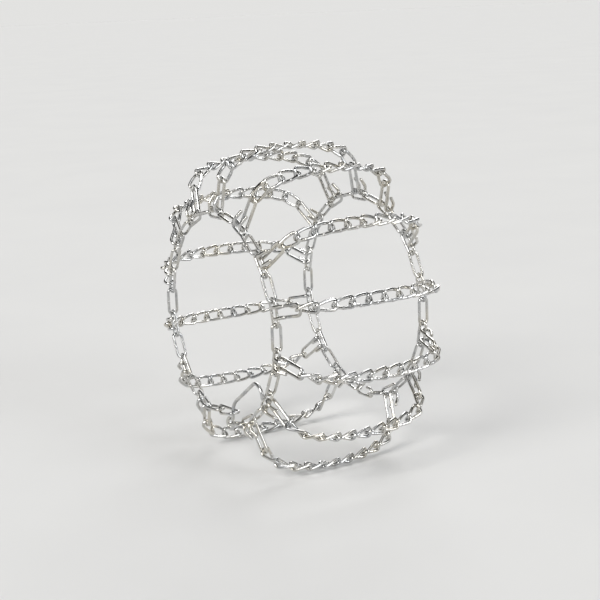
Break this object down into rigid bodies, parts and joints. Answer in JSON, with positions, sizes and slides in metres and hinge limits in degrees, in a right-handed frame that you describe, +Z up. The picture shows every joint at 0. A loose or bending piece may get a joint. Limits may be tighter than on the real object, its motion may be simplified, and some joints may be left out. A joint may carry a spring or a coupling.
{
  "type": "tire snow chain",
  "caption": "Ladder snow chain shaped as worn on a small tractor tire: side chains joined by twisted cross chains on bent wire hooks, closed by a lever fastener.",
  "frame": {"origin": "centre of the wheel that the chain goes on", "axes": "+Y along the axle towards the vehicle, -Y is the outer side with the lever, +Z up, the fastener at the bottom"},
  "size_m": [0.4698, 0.2601, 0.4582],
  "materials": {
    "side_steel": "zinc-plated drawn wire, welded links, soft shine",
    "cross_steel": "zinc-plated hardened wire, brighter and slightly warm",
    "lever_steel": "zinc-plated thick wire, duller grey"
  },
  "bodies": {
    "worn_chain": {"outer_hook_links": "side_steel", "inner_hook_links": "side_steel", "outer_cross_hooks": "cross_steel", "inner_cross_hooks": "cross_steel", "outer_end_link": "side_steel"},
    "cross_chain_01": {"cross_chain_01": "cross_steel"},
    "cross_chain_02": {"cross_chain_02": "cross_steel"},
    "cross_chain_03": {"cross_chain_03": "cross_steel"},
    "cross_chain_04": {"cross_chain_04": "cross_steel"},
    "cross_chain_05": {"cross_chain_05": "cross_steel"},
    "cross_chain_06": {"cross_chain_06": "cross_steel"},
    "cross_chain_07": {"cross_chain_07": "cross_steel"},
    "cross_chain_08": {"cross_chain_08": "cross_steel"},
    "cross_chain_09": {"cross_chain_09": "cross_steel"},
    "cross_chain_10": {"cross_chain_10": "cross_steel"},
    "cross_chain_11": {"cross_chain_11": "cross_steel"},
    "cross_chain_12": {"cross_chain_12": "cross_steel"},
    "cross_chain_13": {"cross_chain_13": "cross_steel"},
    "outer_link_01": {"outer_link_01": "side_steel"},
    "outer_link_02": {"outer_link_02": "side_steel"},
    "outer_link_03": {"outer_link_03": "side_steel"},
    "outer_link_04": {"outer_link_04": "side_steel"},
    "outer_link_05": {"outer_link_05": "side_steel"},
    "outer_link_06": {"outer_link_06": "side_steel"},
    "outer_link_07": {"outer_link_07": "side_steel"},
    "outer_link_08": {"outer_link_08": "side_steel"},
    "outer_link_09": {"outer_link_09": "side_steel"},
    "outer_link_10": {"outer_link_10": "side_steel"},
    "outer_link_11": {"outer_link_11": "side_steel"},
    "outer_link_12": {"outer_link_12": "side_steel"},
    "outer_link_13": {"outer_link_13": "side_steel"},
    "outer_link_14": {"outer_link_14": "side_steel"},
    "inner_link_01": {"inner_link_01": "side_steel"},
    "inner_link_02": {"inner_link_02": "side_steel"},
    "inner_link_03": {"inner_link_03": "side_steel"},
    "inner_link_04": {"inner_link_04": "side_steel"},
    "inner_link_05": {"inner_link_05": "side_steel"},
    "inner_link_06": {"inner_link_06": "side_steel"},
    "inner_link_07": {"inner_link_07": "side_steel"},
    "inner_link_08": {"inner_link_08": "side_steel"},
    "inner_link_09": {"inner_link_09": "side_steel"},
    "inner_link_10": {"inner_link_10": "side_steel"},
    "inner_link_11": {"inner_link_11": "side_steel"},
    "inner_link_12": {"inner_link_12": "side_steel"},
    "inner_link_13": {"inner_link_13": "side_steel"},
    "inner_link_14": {"inner_link_14": "side_steel"},
    "tension_lever": {"tension_lever": "lever_steel"},
    "inner_end_hook": {"inner_end_hook": "side_steel"}
  },
  "joints": [
    {"name": "cross_chain_01_sway", "type": "hinge", "parent": "worn_chain", "child": "cross_chain_01", "pos_m": [0.08504, 0, -0.17659], "axis": [0, 1, 0], "range_deg": [-15, 15]},
    {"name": "cross_chain_02_sway", "type": "hinge", "parent": "worn_chain", "child": "cross_chain_02", "pos_m": [0.15324, 0, -0.12221], "axis": [0, 1, 0], "range_deg": [-15, 15]},
    {"name": "cross_chain_03_sway", "type": "hinge", "parent": "worn_chain", "child": "cross_chain_03", "pos_m": [0.19109, 0, -0.04362], "axis": [0, 1, 0], "range_deg": [-15, 15]},
    {"name": "cross_chain_04_sway", "type": "hinge", "parent": "worn_chain", "child": "cross_chain_04", "pos_m": [0.19109, 0, 0.04362], "axis": [0, 1, 0], "range_deg": [-15, 15]},
    {"name": "cross_chain_05_sway", "type": "hinge", "parent": "worn_chain", "child": "cross_chain_05", "pos_m": [0.15324, 0, 0.12221], "axis": [0, 1, 0], "range_deg": [-15, 15]},
    {"name": "cross_chain_06_sway", "type": "hinge", "parent": "worn_chain", "child": "cross_chain_06", "pos_m": [0.08504, 0, 0.17659], "axis": [0, 1, 0], "range_deg": [-15, 15]},
    {"name": "cross_chain_07_sway", "type": "hinge", "parent": "worn_chain", "child": "cross_chain_07", "pos_m": [0, 0, 0.196], "axis": [0, 1, 0], "range_deg": [-15, 15]},
    {"name": "cross_chain_08_sway", "type": "hinge", "parent": "worn_chain", "child": "cross_chain_08", "pos_m": [-0.08504, 0, 0.17659], "axis": [0, 1, 0], "range_deg": [-15, 15]},
    {"name": "cross_chain_09_sway", "type": "hinge", "parent": "worn_chain", "child": "cross_chain_09", "pos_m": [-0.15324, 0, 0.12221], "axis": [0, 1, 0], "range_deg": [-15, 15]},
    {"name": "cross_chain_10_sway", "type": "hinge", "parent": "worn_chain", "child": "cross_chain_10", "pos_m": [-0.19109, 0, 0.04362], "axis": [0, 1, 0], "range_deg": [-15, 15]},
    {"name": "cross_chain_11_sway", "type": "hinge", "parent": "worn_chain", "child": "cross_chain_11", "pos_m": [-0.19109, 0, -0.04362], "axis": [0, 1, 0], "range_deg": [-15, 15]},
    {"name": "cross_chain_12_sway", "type": "hinge", "parent": "worn_chain", "child": "cross_chain_12", "pos_m": [-0.15324, 0, -0.12221], "axis": [0, 1, 0], "range_deg": [-15, 15]},
    {"name": "cross_chain_13_sway", "type": "hinge", "parent": "worn_chain", "child": "cross_chain_13", "pos_m": [-0.08504, 0, -0.17659], "axis": [0, 1, 0], "range_deg": [-15, 15]},
    {"name": "outer_link_01_swivel", "type": "hinge", "parent": "worn_chain", "child": "outer_link_01", "pos_m": [0.03357, -0.121, -0.1471], "axis": [0.9749, 0, 0.2225], "range_deg": [-10, 10]},
    {"name": "outer_link_02_swivel", "type": "hinge", "parent": "worn_chain", "child": "outer_link_02", "pos_m": [0.09407, -0.121, -0.11796], "axis": [0.7818, 0, 0.6235], "range_deg": [-10, 10]},
    {"name": "outer_link_03_swivel", "type": "hinge", "parent": "worn_chain", "child": "outer_link_03", "pos_m": [0.13594, -0.121, -0.06546], "axis": [0.4339, 0, 0.901], "range_deg": [-10, 10]},
    {"name": "outer_link_04_swivel", "type": "hinge", "parent": "worn_chain", "child": "outer_link_04", "pos_m": [0.15088, -0.121, 0], "axis": [0, 0, 1], "range_deg": [-10, 10]},
    {"name": "outer_link_05_swivel", "type": "hinge", "parent": "worn_chain", "child": "outer_link_05", "pos_m": [0.13594, -0.121, 0.06546], "axis": [-0.4339, 0, 0.901], "range_deg": [-10, 10]},
    {"name": "outer_link_06_swivel", "type": "hinge", "parent": "worn_chain", "child": "outer_link_06", "pos_m": [0.09407, -0.121, 0.11796], "axis": [-0.7818, 0, 0.6235], "range_deg": [-10, 10]},
    {"name": "outer_link_07_swivel", "type": "hinge", "parent": "worn_chain", "child": "outer_link_07", "pos_m": [0.03357, -0.121, 0.1471], "axis": [-0.9749, 0, 0.2225], "range_deg": [-10, 10]},
    {"name": "outer_link_08_swivel", "type": "hinge", "parent": "worn_chain", "child": "outer_link_08", "pos_m": [-0.03357, -0.121, 0.1471], "axis": [-0.9749, 0, -0.2225], "range_deg": [-10, 10]},
    {"name": "outer_link_09_swivel", "type": "hinge", "parent": "worn_chain", "child": "outer_link_09", "pos_m": [-0.09407, -0.121, 0.11796], "axis": [-0.7818, 0, -0.6235], "range_deg": [-10, 10]},
    {"name": "outer_link_10_swivel", "type": "hinge", "parent": "worn_chain", "child": "outer_link_10", "pos_m": [-0.13594, -0.121, 0.06546], "axis": [-0.4339, 0, -0.901], "range_deg": [-10, 10]},
    {"name": "outer_link_11_swivel", "type": "hinge", "parent": "worn_chain", "child": "outer_link_11", "pos_m": [-0.15088, -0.121, 0], "axis": [0, 0, -1], "range_deg": [-10, 10]},
    {"name": "outer_link_12_swivel", "type": "hinge", "parent": "worn_chain", "child": "outer_link_12", "pos_m": [-0.13594, -0.121, -0.06546], "axis": [0.4339, 0, -0.901], "range_deg": [-10, 10]},
    {"name": "outer_link_13_swivel", "type": "hinge", "parent": "worn_chain", "child": "outer_link_13", "pos_m": [-0.09407, -0.121, -0.11796], "axis": [0.7818, 0, -0.6235], "range_deg": [-10, 10]},
    {"name": "outer_link_14_swivel", "type": "hinge", "parent": "worn_chain", "child": "outer_link_14", "pos_m": [-0.03269, -0.121, -0.13916], "axis": [0.9943, 0, 0.1067], "range_deg": [-10, 10]},
    {"name": "inner_link_01_swivel", "type": "hinge", "parent": "worn_chain", "child": "inner_link_01", "pos_m": [0.03357, 0.121, -0.1471], "axis": [0.9749, 0, 0.2225], "range_deg": [-10, 10]},
    {"name": "inner_link_02_swivel", "type": "hinge", "parent": "worn_chain", "child": "inner_link_02", "pos_m": [0.09407, 0.121, -0.11796], "axis": [0.7818, 0, 0.6235], "range_deg": [-10, 10]},
    {"name": "inner_link_03_swivel", "type": "hinge", "parent": "worn_chain", "child": "inner_link_03", "pos_m": [0.13594, 0.121, -0.06546], "axis": [0.4339, 0, 0.901], "range_deg": [-10, 10]},
    {"name": "inner_link_04_swivel", "type": "hinge", "parent": "worn_chain", "child": "inner_link_04", "pos_m": [0.15088, 0.121, 0], "axis": [0, 0, 1], "range_deg": [-10, 10]},
    {"name": "inner_link_05_swivel", "type": "hinge", "parent": "worn_chain", "child": "inner_link_05", "pos_m": [0.13594, 0.121, 0.06546], "axis": [-0.4339, 0, 0.901], "range_deg": [-10, 10]},
    {"name": "inner_link_06_swivel", "type": "hinge", "parent": "worn_chain", "child": "inner_link_06", "pos_m": [0.09407, 0.121, 0.11796], "axis": [-0.7818, 0, 0.6235], "range_deg": [-10, 10]},
    {"name": "inner_link_07_swivel", "type": "hinge", "parent": "worn_chain", "child": "inner_link_07", "pos_m": [0.03357, 0.121, 0.1471], "axis": [-0.9749, 0, 0.2225], "range_deg": [-10, 10]},
    {"name": "inner_link_08_swivel", "type": "hinge", "parent": "worn_chain", "child": "inner_link_08", "pos_m": [-0.03357, 0.121, 0.1471], "axis": [-0.9749, 0, -0.2225], "range_deg": [-10, 10]},
    {"name": "inner_link_09_swivel", "type": "hinge", "parent": "worn_chain", "child": "inner_link_09", "pos_m": [-0.09407, 0.121, 0.11796], "axis": [-0.7818, 0, -0.6235], "range_deg": [-10, 10]},
    {"name": "inner_link_10_swivel", "type": "hinge", "parent": "worn_chain", "child": "inner_link_10", "pos_m": [-0.13594, 0.121, 0.06546], "axis": [-0.4339, 0, -0.901], "range_deg": [-10, 10]},
    {"name": "inner_link_11_swivel", "type": "hinge", "parent": "worn_chain", "child": "inner_link_11", "pos_m": [-0.15088, 0.121, 0], "axis": [0, 0, -1], "range_deg": [-10, 10]},
    {"name": "inner_link_12_swivel", "type": "hinge", "parent": "worn_chain", "child": "inner_link_12", "pos_m": [-0.13594, 0.121, -0.06546], "axis": [0.4339, 0, -0.901], "range_deg": [-10, 10]},
    {"name": "inner_link_13_swivel", "type": "hinge", "parent": "worn_chain", "child": "inner_link_13", "pos_m": [-0.09407, 0.121, -0.11796], "axis": [0.7818, 0, -0.6235], "range_deg": [-10, 10]},
    {"name": "inner_link_14_swivel", "type": "hinge", "parent": "worn_chain", "child": "inner_link_14", "pos_m": [-0.03357, 0.121, -0.1471], "axis": [0.9749, 0, -0.2225], "range_deg": [-10, 10]},
    {"name": "lever_swing", "type": "hinge", "parent": "worn_chain", "child": "tension_lever", "pos_m": [0.01178, -0.121, -0.15207], "axis": [0, -1, 0], "range_deg": [0, 35]},
    {"name": "end_hook_swivel", "type": "hinge", "parent": "worn_chain", "child": "inner_end_hook", "pos_m": [0, 0.121, -0.15088], "axis": [1, 0, 0], "range_deg": [-10, 10]}
  ]
}
